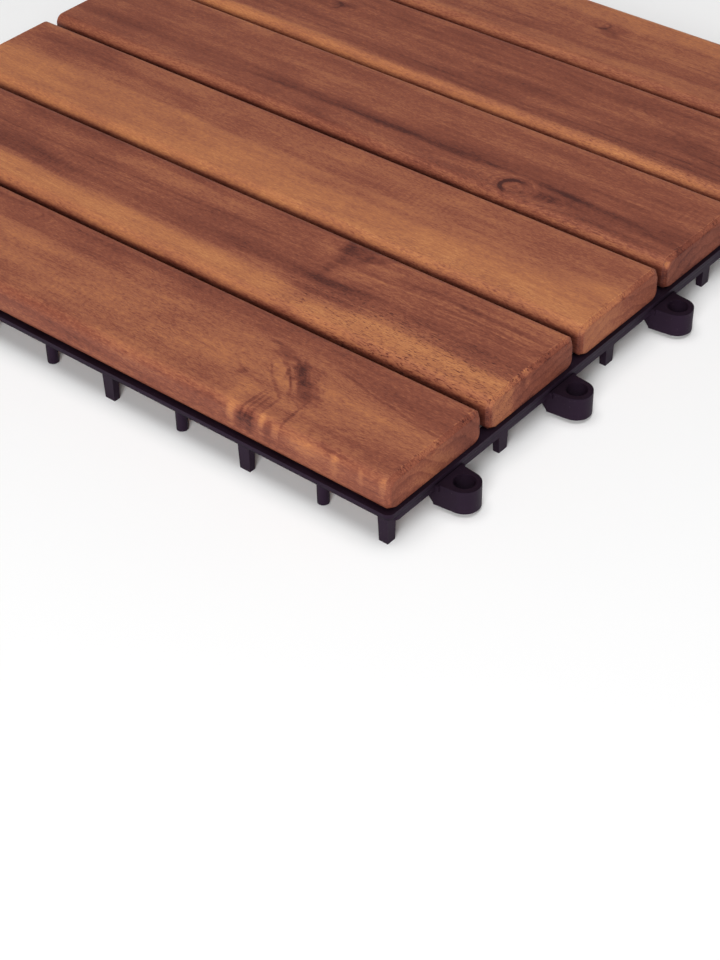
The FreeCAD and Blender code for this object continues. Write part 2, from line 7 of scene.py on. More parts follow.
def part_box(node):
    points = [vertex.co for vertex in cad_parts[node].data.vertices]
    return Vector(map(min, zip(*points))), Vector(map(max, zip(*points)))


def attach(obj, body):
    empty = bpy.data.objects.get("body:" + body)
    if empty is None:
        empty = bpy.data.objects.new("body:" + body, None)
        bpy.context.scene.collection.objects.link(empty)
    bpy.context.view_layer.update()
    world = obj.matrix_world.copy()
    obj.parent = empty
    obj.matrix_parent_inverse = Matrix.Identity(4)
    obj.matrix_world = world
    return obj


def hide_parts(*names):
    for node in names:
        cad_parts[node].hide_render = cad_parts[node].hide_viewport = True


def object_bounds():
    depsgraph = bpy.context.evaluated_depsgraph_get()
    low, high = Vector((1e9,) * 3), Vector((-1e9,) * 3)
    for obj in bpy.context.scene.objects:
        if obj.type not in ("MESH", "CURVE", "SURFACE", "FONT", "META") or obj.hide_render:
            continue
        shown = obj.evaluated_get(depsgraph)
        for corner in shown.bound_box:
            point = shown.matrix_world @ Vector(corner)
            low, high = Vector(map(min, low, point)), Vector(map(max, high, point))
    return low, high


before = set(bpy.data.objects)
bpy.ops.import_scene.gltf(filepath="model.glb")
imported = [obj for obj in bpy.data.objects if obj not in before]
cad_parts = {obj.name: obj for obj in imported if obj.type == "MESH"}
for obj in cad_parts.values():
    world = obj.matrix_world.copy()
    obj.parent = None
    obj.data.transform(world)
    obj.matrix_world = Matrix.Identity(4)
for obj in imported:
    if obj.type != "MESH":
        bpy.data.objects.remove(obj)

bl_info = {
    "name": "Interlocking deck tile",
    "version": (1, 0, 0),
    "blender": (4, 5, 0),
    "location": "3D View > Sidebar > Deck tile",
    "description": "Oiled hardwood slats on a moulded black grid",
    "category": "Object",
}

MM = 0.001
CAD_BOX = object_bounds()
SLAT_NODES = sorted(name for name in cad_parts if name.startswith("slat_"))
SCREW_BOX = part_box("screws")
DECK_LEVEL = round(CAD_BOX[1][2] / MM, 3)


def paint(red, green, blue):
    """A colour written as it shows on screen, 0 to 255, as linear red, green and blue."""
    def linear(level):
        share = level / 255
        return share / 12.92 if share <= 0.04045 else ((share + 0.055) / 1.055) ** 2.4
    return linear(red), linear(green), linear(blue)


def solid(colour):
    """The same colour with full opacity, for a node's socket."""
    return (*colour, 1.0)


# looks of the slats
# Places are in millimetres in the tile's frame. "across" runs from a slat's front edge, 0,
# to its back edge, 1, and gives how light the wood is there. A knot is (x, y, radius, reach,
# darkness, direction of its dark side). A curl is (x, y, half length, half width, strength)
# of an area where the figure runs across the slat. A stain is (x, y, half length, half width,
# turn in degrees, how much lighter).
# A line is (x1, y1, x2, y2, bow, width, how much lighter). The pith is (how far behind the
# slat's middle, depth under the ground, how far it leans back for each millimetre along).
# Flecks and ripples have areas like a curl's. The chip is (x, y, z, size), and "gaps" says
# which of the slat's walls stand in a gap.

SLAT_LOOKS = {
    "slat_1": {
        "seed": 1.7, "rings": 0.16, "bands": 0.28, "streaks": 0.15, "flecks": 0.10,
        "gaps": "Back Gap",
        "pith": (-26, 34, 0.02),
        "across": ((0, 0.52), (0.13, 0.57), (0.30, 0.63), (0.48, 0.67), (0.62, 0.65), (0.76, 0.51),
            (0.88, 0.46), (1, 0.53)),
        "knots": ((88, -125, 4, 20, 0.45, 40), (-43, -109, 2.4, 10, 0.25, 0)),
        "stains": ((92.4, -122.6, 7.6, 3.2, -54, -0.44), (96, -121.4, 6.5, 4.6, -40, -0.16),
            (101, -130.6, 9, 5.4, -48, -0.28), (98.5, -128, 7, 2.6, -52, -0.16),
            (126, -115.6, 36, 4.4, -5, -0.10), (81, -117.2, 6, 1.6, -18, -0.22),
            (86.5, -126, 12, 4.6, -50, 0.07), (88.6, -124.8, 2.8, 0.9, -62, -0.28),
            (83, -140, 6.5, 7.5, 0, 0.12), (76.5, -133, 2.4, 1.6, 70, -0.20),
            (66, -123, 2.4, 1.6, 0, -0.10), (130, -112, 40, 6, -6, -0.05),
            (89, -142.5, 8.5, 0.7, 88, -0.20), (90.8, -143, 8, 0.6, 90, -0.16),
            (92.8, -142.5, 8, 0.6, 92, -0.14), (95.8, -141.5, 7.5, 0.8, 90, -0.14),
            (104.4, -141, 9, 0.7, 94, -0.20), (92.5, -141.5, 4.5, 5, 0, -0.05),
            (88.4, -148.9, 2.4, 1.9, 40, -0.28), (91.8, -148.8, 3.4, 2.4, 50, -0.36),
            (96, -150.6, 5, 1.5, 0, -0.30), (100, -148.2, 2, 1.4, 30, -0.16),
            (84.8, -147.9, 2, 2.2, -30, 0.28), (97, -147, 2, 1.9, -70, 0.32),
            (103.2, -147.8, 2.4, 1.6, -20, 0.22), (116, -148.2, 9.5, 1.5, 0, 0.22),
            (127, -147.9, 1.9, 2.1, -60, 0.26), (137.6, -148.6, 2, 1.3, -20, 0.20),
            (142, -149.4, 1.7, 1, 10, 0.16), (145.8, -147.9, 1.5, 1.7, -60, 0.24),
            (127, -146.8, 6, 0.6, 0, -0.28)),
        "lines": ((72, -115.4, 93, -122, 2.6, 1.3, -0.28), (76, -118.5, 98, -135, 3.4, 1.2, -0.22),
            (79, -122, 97, -137.5, -1.5, 1.1, -0.18), (82, -119.5, 96, -133, 2, 0.9, -0.16),
            (81, -124, 95, -135.5, -0.8, 0.9, -0.14), (101, -113.2, 149, -121.8, -1.4, 1, -0.26),
            (66, -128, 88, -135, -0.6, 1, -0.13), (108, -131, 146, -130, 0.6, 0.6, -0.06),
            (106, -136, 148, -134.5, 0.6, 0.6, -0.08), (-140, -118, 20, -116, 1, 0.6, -0.08)),
        "fleck_area": (60, -125, 120, 40),
        "curl": (104, -144, 44, 7, 0.16),
        "ripple": (2, -138, 20, 12),
        "chip": (149, -147.5, 24.8, 1.8),
    },
    "slat_2": {
        "seed": 4.2, "rings": 0.15, "bands": 0.22, "streaks": 0.24, "flecks": 0.40,
        "gaps": "Both Gaps",
        "pith": (18, 42, -0.015),
        "across": ((0, 0.66), (0.10, 0.79), (0.23, 0.79), (0.34, 0.50), (0.44, 0.42), (0.60, 0.47),
            (0.78, 0.49), (1, 0.45)),
        "knots": ((61, -58, 2.6, 14, 0.10, 90),),
        "stains": ((-80, -79, 30, 8, 0, -0.14), (58.6, -58.5, 8.2, 3.4, -74, -0.24),
            (68, -60.5, 11, 2.6, 44, -0.20), (63.6, -57.2, 8, 5.6, 20, -0.20),
            (51.5, -61, 6.5, 6, 0, 0.13), (60, -70, 2.6, 8, 0, -0.14), (66, -78, 19, 2.1, 0, -0.20),
            (79, -75.8, 12, 1.3, 5, -0.16), (68, -86, 17, 5, 0, -0.13), (62, -91, 10, 7, 0, -0.12),
            (112, -92, 44, 7, 3, 0.06), (-30, -62, 45, 6, 0, 0.05), (120, -76, 34, 7, 0, -0.05),
            (72, -70, 10, 3.2, 14, 0.14), (147.6, -77.5, 1.4, 2.4, -12, 0.30),
            (147.2, -82.8, 1.3, 2, -12, 0.30)),
        "lines": ((-120, -69.5, 46, -66, -1.2, 0.8, -0.16), (-120, -72.5, 30, -69, -1.2, 0.7, -0.12),
            (76, -57, 147, -58, 0.8, 0.7, -0.10), (80, -61.6, 149, -62.4, 0.5, 2, -0.22),
            (62, -69, 148, -65.4, 1.6, 0.9, 0.17), (94, -63.9, 148, -64, 0.3, 0.8, 0.14),
            (104, -68.4, 146, -67.2, 0.3, 0.8, 0.22), (70, -73, 148, -71, 0.8, 0.6, -0.09),
            (84, -80, 148, -76, 0.6, 0.6, -0.08)),
        "fleck_area": (112, -90, 62, 14),
        "curl": (70, -60, 30, 12, 0.10),
        "ripple": (-60, -80, 20, 10),
        "chip": (147.8, -77.5, 25.2, 2),
    },
    "slat_3": {
        "seed": 7.9, "rings": 0.10, "bands": 0.16, "streaks": 0.17, "flecks": 0.16,
        "gaps": "Both Gaps",
        "pith": (-6, 60, 0.03),
        "across": ((0, 0.76), (0.14, 0.76), (0.34, 0.74), (0.48, 0.67), (0.58, 0.56), (0.80, 0.53),
            (1, 0.55)),
        "knots": (),
        "stains": ((20, -40, 60, 3, -1, 0.05), (-20, -23, 60, 3, 0, -0.04), (110, -47, 40, 3, 0, -0.08),
            (-120, -12, 30, 9, 0, -0.14)),
        "lines": ((-60, -38, 90, -42, -0.8, 0.8, -0.06), (10, -13, 140, -18, 0.8, 0.7, -0.06),
            (-140, -22, 148, -28, 1.2, 1, -0.05)),
        "fleck_area": (90, -46, 70, 8),
        "curl": (40, -40, 90, 14, 0.07),
        "ripple": (60, -18, 24, 14),
        "chip": (149, -48, 24, 1.6),
    },
    "slat_4": {
        "seed": 11.3, "rings": 0.16, "bands": 0.22, "streaks": 0.20, "flecks": 0.16,
        "gaps": "Both Gaps",
        "pith": (12, 36, -0.03),
        "across": ((0, 0.55), (0.08, 0.48), (0.20, 0.42), (0.32, 0.36), (0.46, 0.46), (0.62, 0.48),
            (0.80, 0.46), (0.92, 0.52), (1, 0.66)),
        "knots": ((79, 9.2, 4.6, 17, 1.8, 165),),
        "stains": ((92, 10, 5.6, 3.4, 0, -0.24), (116, 24.5, 17, 1.9, 0, -0.14),
            (30, 15.5, 44, 2.2, 0, -0.10), (118, 7.6, 30, 3, -8, -0.17), (100, 2, 44, 2, 0, 0.10),
            (55, 10, 18, 1.6, 4, 0.07), (55, 6, 22, 2.6, 4, -0.05), (135, 34, 12, 4, 0, -0.06),
            (84.6, 13.6, 3, 0.6, -44, 0.10), (116, 13.4, 38, 4, -4, -0.18),
            (96, 15.8, 14, 2, -3, -0.16)),
        "lines": ((-60, 15, 86, 17, 0.6, 2, -0.13), (82, 16.8, 149, 11.4, 0.9, 2.8, -0.10),
            (84, 3.5, 149, 4, -1, 0.8, -0.10), (40, 24, 149, 28, 1, 0.9, -0.07),
            (0, 31, 149, 33, -0.8, 0.8, -0.06)),
        "fleck_area": (80, 4, 80, 6),
        "curl": (90, 14, 40, 10, 0.08),
        "ripple": (140, 30, 10, 10),
        "chip": (149.4, 2.6, 22.6, 2.6),
    },
    "slat_5": {
        "seed": 15.1, "rings": 0.15, "bands": 0.22, "streaks": 0.28, "flecks": 0.20,
        "gaps": "Both Gaps",
        "pith": (-14, 38, 0.04),
        "across": ((0, 0.80), (0.07, 0.66), (0.13, 0.40), (0.24, 0.38), (0.40, 0.42), (0.58, 0.46),
            (0.80, 0.42), (1, 0.46)),
        "knots": ((-64, 79, 3.4, 16, 0.7, 20),),
        "stains": ((118, 70, 20, 6, -10, -0.12), (92, 79, 15, 3, -18, 0.09), (60, 66, 24, 5, 12, 0.06),
            (-59, 82, 7, 3, 20, -0.20)),
        "lines": ((50, 58.5, 149, 61, 0.8, 1.1, -0.20), (62, 64, 149, 66, 1, 0.8, -0.10),
            (84, 84, 112, 75, -1.4, 0.8, -0.14), (-140, 62, 60, 60, 1, 0.8, -0.12)),
        "fleck_area": (100, 55, 60, 6),
        "curl": (95, 78, 30, 10, 0.12),
        "ripple": (-100, 80, 14, 10),
        "chip": (-149.5, 97, 23, 2),
    },
    "slat_6": {
        "seed": 19.6, "rings": 0.18, "bands": 0.26, "streaks": 0.24, "flecks": 0.20,
        "gaps": "Front Gap",
        "pith": (4, 30, 0.03),
        "across": ((0, 0.62), (0.16, 0.50), (0.38, 0.46), (0.60, 0.56), (0.82, 0.64), (1, 0.72)),
        "knots": ((34, 131, 3, 15, 0.8, -40),),
        "stains": ((40, 127, 7, 3, -24, -0.22), (-70, 116, 36, 6, 2, -0.12),
            (110, 138, 34, 6, 0, 0.10)),
        "lines": ((-145, 120, 20, 118, 1.2, 0.8, -0.16), (46, 124, 148, 119, 0.8, 0.8, -0.14),
            (-145, 137, 10, 139, -0.8, 0.7, -0.10)),
        "fleck_area": (-40, 140, 90, 8),
        "curl": (34, 131, 30, 12, 0.14),
        "ripple": (-20, 112, 18, 8),
        "chip": (149.4, 147, 23, 2),
    },
}


# settings a user would change

def colour_setting(name, description, default):
    """A colour that a user can set."""
    return bpy.props.FloatVectorProperty(
        name=name, description=description, default=default,
        subtype="COLOR", size=3, min=0.0, max=1.0)


def length_setting(name, description, default, least=0.0):
    """A length that a user can set, given here in millimetres."""
    return bpy.props.FloatProperty(
        name=name, description=description, default=default * MM, min=least * MM, unit="LENGTH")


def amount_setting(name, description, default, **limits):
    """A number from nothing upwards that a user can set."""
    return bpy.props.FloatProperty(
        name=name, description=description, default=default, min=0.0, **limits)


class SlatShape(bpy.types.PropertyGroup):
    """How the slats' edges are finished."""
    top_radius: length_setting("Top edge radius", "Round of the two long upper edges", 3.5)
    bottom_radius: length_setting("Bottom edge radius", "Round of the two long lower edges", 3.0)
    end_ease: length_setting("End ease", "How far the edges of the sawn ends are eased", 1.5)
    wave: length_setting(
        "Planing wave", "Height of the slow waves that planing and weather leave", 0.14)
    nick_depth: length_setting("Nick depth", "Depth of the small breaks along the sawn ends", 0.4)


class WoodFinish(bpy.types.PropertyGroup):
    """Colours and figure of the oiled wood."""
    heart: colour_setting("Heart", "Darkest wood, in knots and burls", paint(72, 30, 23))
    umber: colour_setting("Umber", "Dark streaks", paint(108, 53, 39))
    brown: colour_setting("Brown", "Main brown of the darker slats", paint(136, 74, 54))
    tan: colour_setting("Tan", "Main colour of the lighter slats", paint(159, 96, 67))
    amber: colour_setting("Amber", "Light streaks", paint(180, 113, 72))
    gold: colour_setting("Gold", "Lightest wood, along some front edges", paint(198, 133, 85))
    contrast: amount_setting("Contrast", "How strongly bands, rings and streaks show", 0.62)
    grain: amount_setting("Grain", "How strongly the fine fibres show", 0.40)
    # Gap shade sets how dark the painted shade is on the slats' walls down in the gaps.
    gap_shade: amount_setting(
        "Gap shade", "How much darker the oil and dirt are down in the gaps", 0.5)
    ring_width: length_setting("Ring width", "Distance from one growth ring to the next", 4.6, 0.5)
    wander: length_setting("Wander", "How far the grain strays from straight", 4.0)
    roughness: amount_setting(
        "Roughness", "Gloss of the oil, from 0, wet, to 1, dry", 0.56, max=1.0, subtype="FACTOR")


class GridFinish(bpy.types.PropertyGroup):
    """Finish of the moulded plastic."""
    colour: colour_setting("Plastic", "Colour of the moulded grid", paint(20, 10, 16))
    # This rubbed colour is also mixed onto the upright faces as painted light.
    pale: colour_setting(
        "Rubbed plastic", "Colour where the plastic is rubbed or dusty", paint(39, 26, 39))
    roughness: amount_setting(
        "Roughness", "Gloss of the moulded skin", 0.54, max=1.0, subtype="FACTOR")
    # The dark line at the step is painted shadow.
    step_height: length_setting(
        "Step height", "Level of the dark line where the rim steps back to its skirt", 10.2)


class ScrewShape(bpy.types.PropertyGroup):
    """Sizes of the screws that hold the slats."""
    flats: length_setting("Across flats", "Width of the hexagonal head", 5.5, 1.0)
    head_height: length_setting("Head height", "Height of the head with its flange", 1.7, 0.5)
    shank_radius: length_setting("Shank radius", "Radius over the thread", 1.3, 0.3)
    pitch: length_setting("Pitch", "Distance between two turns of the thread", 1.2, 0.3)
    colour: colour_setting("Plating", "Colour of the zinc plating", paint(184, 184, 178))


class StageLook(bpy.types.PropertyGroup):
    """Floor, light and camera."""
    floor_colour: colour_setting("Floor", "Colour of the floor", (0.97, 0.97, 0.97))
    horizon: amount_setting("Horizon", "Brightness of the surroundings at the floor's level", 0.8)
    zenith: amount_setting("Zenith", "Brightness of the surroundings overhead", 0.08)
    top_power: amount_setting(
        "Top lamp", "Power of the large soft lamp over the tile", 25.0, unit="POWER")
    front_power: amount_setting(
        "Front lamp", "Power of the low soft lamp in front", 26.0, unit="POWER")
    camera_place: bpy.props.FloatVectorProperty(
        name="Camera", description="Where the camera stands",
        subtype="TRANSLATION", size=3, unit="LENGTH", default=(0.45185, -0.52096, 0.41921))
    camera_aim: bpy.props.FloatVectorProperty(
        name="Aim", description="The point at the middle of the picture",
        subtype="TRANSLATION", size=3, unit="LENGTH", default=(0.12185, -0.12998, 0.0))
    camera_roll: bpy.props.FloatProperty(
        name="Roll", description="How far the camera's right side tips down",
        subtype="ANGLE", unit="ROTATION", default=math.radians(1.16))
    lens: bpy.props.FloatProperty(
        name="Lens", description="Focal length of the camera",
        default=78.73, min=1.0, unit="CAMERA")


class DeckTileSettings(bpy.types.PropertyGroup):
    """Everything about the tile that a user can set."""
    slats: bpy.props.PointerProperty(type=SlatShape)
    wood: bpy.props.PointerProperty(type=WoodFinish)
    grid: bpy.props.PointerProperty(type=GridFinish)
    screws: bpy.props.PointerProperty(type=ScrewShape)
    stage: bpy.props.PointerProperty(type=StageLook)


# laying nodes

ORIGIN = (0.0, 0.0, 0.0)
SMOOTH = "SMOOTHSTEP"
# The kind of socket that each kind of starting value asks for.
SOCKET_KINDS = {
    float: "NodeSocketFloat", int: "NodeSocketInt", tuple: "NodeSocketVector",
    type(None): "NodeSocketMaterial",
}


class Value:
    """What comes out of a node. Reckoning with it lays the node for the next step."""

    def __init__(self, tree, socket):
        self.tree = tree
        self.socket = socket

    def __add__(self, other):
        return calc("ADD", self, other)

    def __sub__(self, other):
        return calc("SUBTRACT", self, other)

    def __rsub__(self, other):
        return calc("SUBTRACT", other, self)

    def __mul__(self, other):
        return calc("MULTIPLY", self, other)

    def __truediv__(self, other):
        return calc("DIVIDE", self, other)

    def __rtruediv__(self, other):
        return calc("DIVIDE", other, self)

    def __abs__(self):
        return calc("ABSOLUTE", self)


def feed(tree, node, inputs):
    """Joins a node's inputs to what other nodes give, or sets their values."""
    for key, value in inputs.items():
        socket = node.inputs[key]
        for item in value if isinstance(value, list) else [value]:
            if isinstance(item, Value):
                tree.links.new(item.socket, socket)
            else:
                socket.default_value = item


def put(tree, kind, inputs=None, **settings):
    """Adds one node, with its settings and inputs, and returns it."""
    node = tree.nodes.new(kind)
    for name, value in settings.items():
        setattr(node, name, value)
    feed(tree, node, inputs or {})
    return node


def take(tree, kind, inputs=None, output=0, **settings):
    """Adds one node and returns what comes out of it."""
    return Value(tree, put(tree, kind, inputs, **settings).outputs[output])


def results(tree, node):
    """Everything that comes out of a node, by name."""
    return {socket.name: Value(tree, socket) for socket in node.outputs}


def tree_of(values):
    """The tree of the first of these values that comes out of a node."""
    return next(value.tree for value in values if isinstance(value, Value))


def calc(operation, *values):
    """The result of one sum, of vectors where one of its values is a vector."""
    inputs = dict(enumerate(values))
    if any(isinstance(value, Value) and value.socket.type == "VECTOR" for value in values):
        output = "Value" if operation in {"LENGTH", "DISTANCE", "DOT_PRODUCT"} else "Vector"
        kind = "ShaderNodeVectorMath"
    else:
        output, kind = "Value", "ShaderNodeMath"
    return take(tree_of(values), kind, inputs, output, operation=operation)


def span(value, low, high, to_low=0.0, to_high=1.0, kind="LINEAR"):
    """The value moved from one range to another, and held at its ends."""
    inputs = {0: value, 1: low, 2: high, 3: to_low, 4: to_high}
    return take(value.tree, "ShaderNodeMapRange", inputs, interpolation_type=kind, clamp=True)


def fade(value, low, high, kind=SMOOTH):
    """One up to the lower value, falling to nothing at the higher one."""
    return span(value, low, high, 1.0, 0.0, kind)


def parts_of(vector):
    """The three numbers of a vector."""
    return list(results(vector.tree, put(vector.tree, "ShaderNodeSeparateXYZ", {0: vector})).values())


def point(*numbers):
    """A vector made of three numbers."""
    return take(tree_of(numbers), "ShaderNodeCombineXYZ", dict(enumerate(numbers)))


def noise(vector, detail=2.0, roughness=0.5, scale=1.0):
    """A cloudy value around one half."""
    return take(vector.tree, "ShaderNodeTexNoise", {
        "Vector": vector, "Scale": scale, "Detail": detail, "Roughness": roughness})


def add_up(values):
    """The sum of several values."""
    total = values[0]
    for value in values[1:]:
        total = calc("ADD", total, value)
    return total


def ramp(value, stops, kind="LINEAR"):
    """A colour chosen by a value, from stops of (place, colour)."""
    node = put(value.tree, "ShaderNodeValToRGB", {0: value})
    bar = node.color_ramp
    bar.interpolation = kind
    while len(bar.elements) < len(stops):
        bar.elements.new(1.0)
    for element, (place, colour) in zip(bar.elements, stops):
        element.position = place
        element.color = solid(colour)
    return Value(value.tree, node.outputs[0])


def tint(share, first, second):
    """Two colours mixed."""
    inputs = {0: share, 6: first, 7: second}
    return take(share.tree, "ShaderNodeMix", inputs, 2, data_type="RGBA")


def new_tree(name, kind, inputs):
    """An empty node tree with named inputs, and what comes in through them."""
    tree = bpy.data.node_groups.new(name, kind)
    for label, default in inputs.items():
        socket = tree.interface.new_socket(
            label, in_out="INPUT", socket_type=SOCKET_KINDS[type(default)])
        if default is not None:
            socket.default_value = default
    return tree, results(tree, tree.nodes.new("NodeGroupInput"))


def end_tree(tree, values, kind="NodeSocketFloat"):
    """Gives a tree its named outputs, and returns it."""
    for label in values:
        tree.interface.new_socket(label, in_out="OUTPUT", socket_type=kind)
    put(tree, "NodeGroupOutput", values)
    return tree


def use_group(tree, group, inputs):
    """Places a shader group in a tree with its own values, and returns its outputs."""
    return results(tree, put(tree, "ShaderNodeGroup", inputs, node_tree=group))


# shader groups

# How each part of the wood's figure is drawn from noise: its change for each millimetre along
# and across the grain, its detail and roughness, and the range that is spread from 0 to 1.
FIGURE = {
    "Bands": (0.0045, 0.085, 2.0, 0.5, 0.28, 0.72, "LINEAR"),
    "Clouds": (0.03, 0.11, 3.0, 0.6, 0.28, 0.72, "LINEAR"),
    "Streaks": (0.017, 0.55, 3.0, 0.6, 0.28, 0.72, "LINEAR"),
    "Fibres": (0.50, 2.1, 3.0, 0.75, 0.28, 0.72, "LINEAR"),
    "Pores": (0.50, 2.9, 1.5, 0.5, 0.57, 0.64, SMOOTH),
    "Curl": (0.17, 0.05, 2.0, 0.6, 0.30, 0.70, "LINEAR"),
}


def make_board_figure():
    """Growth rings about a leaning pith, colour bands, streaks, fibres and pores."""
    tree, way_in = new_tree("board figure", "ShaderNodeTree", {
        "Place": ORIGIN, "Seed": 0.0, "Lift": 0.0, "Wander": 4.0, "Ring Width": 5.0,
        "Pith Side": 0.0, "Pith Depth": 40.0, "Pith Lean": 0.0,
    })
    seed = way_in["Seed"]
    start = point(seed * 13.1, seed * 7.7, seed * 3.3)
    slow = calc("MULTIPLY_ADD", way_in["Place"], (0.0075, 0.022, 0.022), start)
    drift = (noise(slow, 1.5) - 0.5) * way_in["Wander"] * 2.4
    x, y, z = parts_of(way_in["Place"])
    y_flow = y + drift + way_in["Lift"]
    z_flow = z + drift * 0.6
    flow = point(x, y_flow, z_flow)
    side = y_flow - (way_in["Pith Side"] + x * way_in["Pith Lean"])
    depth = z_flow + way_in["Pith Depth"]
    reach = calc("SQRT", side * side + depth * depth)
    uneven = noise(calc("MULTIPLY_ADD", flow, (0.004, 0.07, 0.07), start), 2.0)
    season = calc("FRACT", reach / way_in["Ring Width"] + uneven * 2.6)
    figure = {"Rings": calc("POWER", season, 2.4) * fade(season, 0.86, 1.0)}
    for label, (along, across, detail, roughness, low, high, kind) in FIGURE.items():
        drawn = calc("MULTIPLY_ADD", flow, (along, across, across), start)
        figure[label] = span(noise(drawn, detail, roughness), low, high, kind=kind)
    figure["Drift"] = drift
    return end_tree(tree, figure)


def make_knot():
    """A knot: how far it pushes the grain aside, its rings, its heart and the dark wood round it."""
    tree, way_in = new_tree("knot", "ShaderNodeTree", {
        "Place": ORIGIN, "Centre": ORIGIN, "Dark Side": ORIGIN, "Radius": 3.0, "Reach": 15.0,
    })
    away = way_in["Place"] - way_in["Centre"]
    ragged = noise(away, 2.0, 0.6, 0.35) - 0.5
    x, y, z = parts_of(away)
    radius = way_in["Radius"]
    x_share = x / (radius * 1.25)
    y_share = (y - z * 0.25) / radius
    length = calc("SQRT", x_share * x_share + y_share * y_share)
    distance = length + ragged * 0.55
    along = x / way_in["Reach"]
    near = calc("EXPONENT", along * along * -1.0)
    fainter = calc("EXPONENT", abs(y_share) * -0.45)
    way = y_share / calc("SQRT", y_share * y_share + 0.12)
    towards = calc("DOT_PRODUCT", point(x_share, y_share, 0.0), way_in["Dark Side"])
    dark_side = span(towards / (length + 0.05), -0.5, 0.7, 0.12, 1.0, SMOOTH)
    return end_tree(tree, {
        "Lift": way * near * fainter * radius * -1.0,
        "Eye": fade(distance, 1.3, 2.6),
        "Rings": span(calc("SINE", distance * 11.0), -0.2, 1.0),
        "Heart": fade(abs(distance - 0.95), 0.04, 0.30) * dark_side,
        "Halo": calc("EXPONENT", length * length * -0.22),
    })


def make_stain():
    """A soft patch of lighter or darker wood, stretched along the grain."""
    tree, way_in = new_tree("stain", "ShaderNodeTree", {
        "Place": ORIGIN, "Centre": ORIGIN, "Half Size": ORIGIN, "Turn": 0.0, "Raggedness": 0.7,
    })
    turned = take(tree, "ShaderNodeVectorRotate", {
        "Vector": way_in["Place"] - way_in["Centre"], "Center": ORIGIN,
        "Angle": way_in["Turn"] * -1.0,
    }, rotation_type="Z_AXIS")
    length = calc("LENGTH", turned / way_in["Half Size"])
    cloud = noise(calc("MULTIPLY_ADD", turned, (0.07, 0.36, 0.36), way_in["Centre"]), 4.0, 0.65)
    edge = (cloud - 0.5) * way_in["Raggedness"] * 2.2
    return end_tree(tree, {"Mask": fade(length + edge, 0.25, 1.25)})


def make_grain_line():
    """One thin curved line of the grain from a start to an end."""
    tree, way_in = new_tree("grain line", "ShaderNodeTree", {
        "Place": ORIGIN, "Start": ORIGIN, "End": ORIGIN, "Bow": 0.0, "Width": 0.7,
    })
    place = way_in["Place"]
    x, y, z = parts_of(place)
    x_start, y_start, _ = parts_of(way_in["Start"])
    x_end, y_end, _ = parts_of(way_in["End"])
    share = span(x, x_start, x_end)
    whole = (x - x_start) / (x_end - x_start)
    bow = share * (1.0 - share) * (way_in["Bow"] * 4.0)
    straight = calc("MULTIPLY_ADD", share, y_end - y_start, y_start)
    stray = (noise(place * (0.06, 0.04, 0.04), 3.0) - 0.5) * 3.0
    off = abs(y + (z - DECK_LEVEL) * 0.35 - (straight + bow + stray))
    broken = span(noise(place * (0.12, 0.6, 0.6), 2.0), 0.3, 0.6, 0.35, 1.0)
    ends = span(whole, -0.02, 0.12, kind=SMOOTH) * fade(whole, 0.86, 1.02)
    return end_tree(tree, {"Mask": fade(off, 0.0, way_in["Width"]) * broken * ends})


def make_edge_wear_and_gap_shade():
    """Where a slat is rubbed or marked at its edges and sawn across, and where painted shade darkens
    its walls down in a gap.
    """
    tree, way_in = new_tree("edge wear", "ShaderNodeTree", {
        "Place": ORIGIN, "Centre": ORIGIN, "Half Size": ORIGIN, "Width": 3.0,
    })
    place = way_in["Place"]
    from_centre = place - way_in["Centre"]
    x, y, z = parts_of(way_in["Half Size"] - abs(from_centre))
    cloud = (noise(place * (0.3, 0.3, 0.3), 2.0) - 0.5) * 3.0
    arris = fade(abs(x - 1.75), 0.08, 0.40) * fade(z, 0.3, 0.8, "LINEAR")
    patchy = noise(place * (0.5, 1.5, 0.5), 2.0, 0.6)
    strokes = noise(place * (1.0, 1.7, 1.0), 2.0, 0.6)
    clusters = noise(place * (0.0, 0.14, 0.0), 1.0)
    marked = span(strokes, 0.53, 0.58) * span(clusters, 0.46, 0.58)
    _, y_side, z_side = parts_of(from_centre)
    _, _, half_thick = parts_of(way_in["Half Size"])
    # Painted shade: the long walls darken below the top, where the narrow gaps lie in shade.
    painted_gap_shade = fade(y, 0.2, 2.4) * span(half_thick - z_side, 1.2, 5.0, kind=SMOOTH)
    behind = calc("GREATER_THAN", y_side, 0.0)
    return end_tree(tree, {
        "Long Edges": fade(y + z + cloud, 0.0, way_in["Width"]),
        "Bevel": fade(x, 1.4, 1.7, "LINEAR") * fade(z, 1.4, 1.9, "LINEAR"),
        "Arris": arris * span(patchy, 0.44, 0.58),
        "Marks": marked * (fade(x, 1.9, 2.3, "LINEAR") * fade(z, 1.0, 1.8, "LINEAR")),
        "Ends": fade(x, 0.1, 0.5),
        "Both Gaps": painted_gap_shade,
        "Back Gap": painted_gap_shade * behind,
        "Front Gap": painted_gap_shade * (1.0 - behind),
    })


def make_moulded_skin():
    """The fine grain, slow mottling and dust of moulded plastic or plated steel."""
    tree, way_in = new_tree("moulded skin", "ShaderNodeTree", {
        "Place": ORIGIN, "Grain Size": 0.5, "Mottle Size": 14.0,
    })
    place = way_in["Place"]
    mottle = noise(place, 3.0, 0.55, 1.0 / way_in["Mottle Size"])
    dust = noise(place, 1.0, 0.5, 1.9)
    return end_tree(tree, {
        "Grain": noise(place, 2.0, 0.6, 1.0 / way_in["Grain Size"]),
        "Mottle": span(mottle, 0.3, 0.7),
        "Specks": span(dust, 0.72, 0.80, kind=SMOOTH),
    })


# materials

STEP_SHADOW = paint(4, 2, 4)
DUST = paint(92, 78, 84)
DULL_ZINC = paint(142, 144, 142)
WOOD_SPECULAR = 0.28
PLASTIC_SPECULAR = 0.18
PLASTIC_SHEEN = (0.74, 0.52, 1.0)
# How much lighter each kind of wear leaves the wood.
WEAR_TONES = {"Long Edges": 0.04, "Bevel": -0.04, "Arris": 0.20, "Marks": -0.34, "Ends": -0.08}


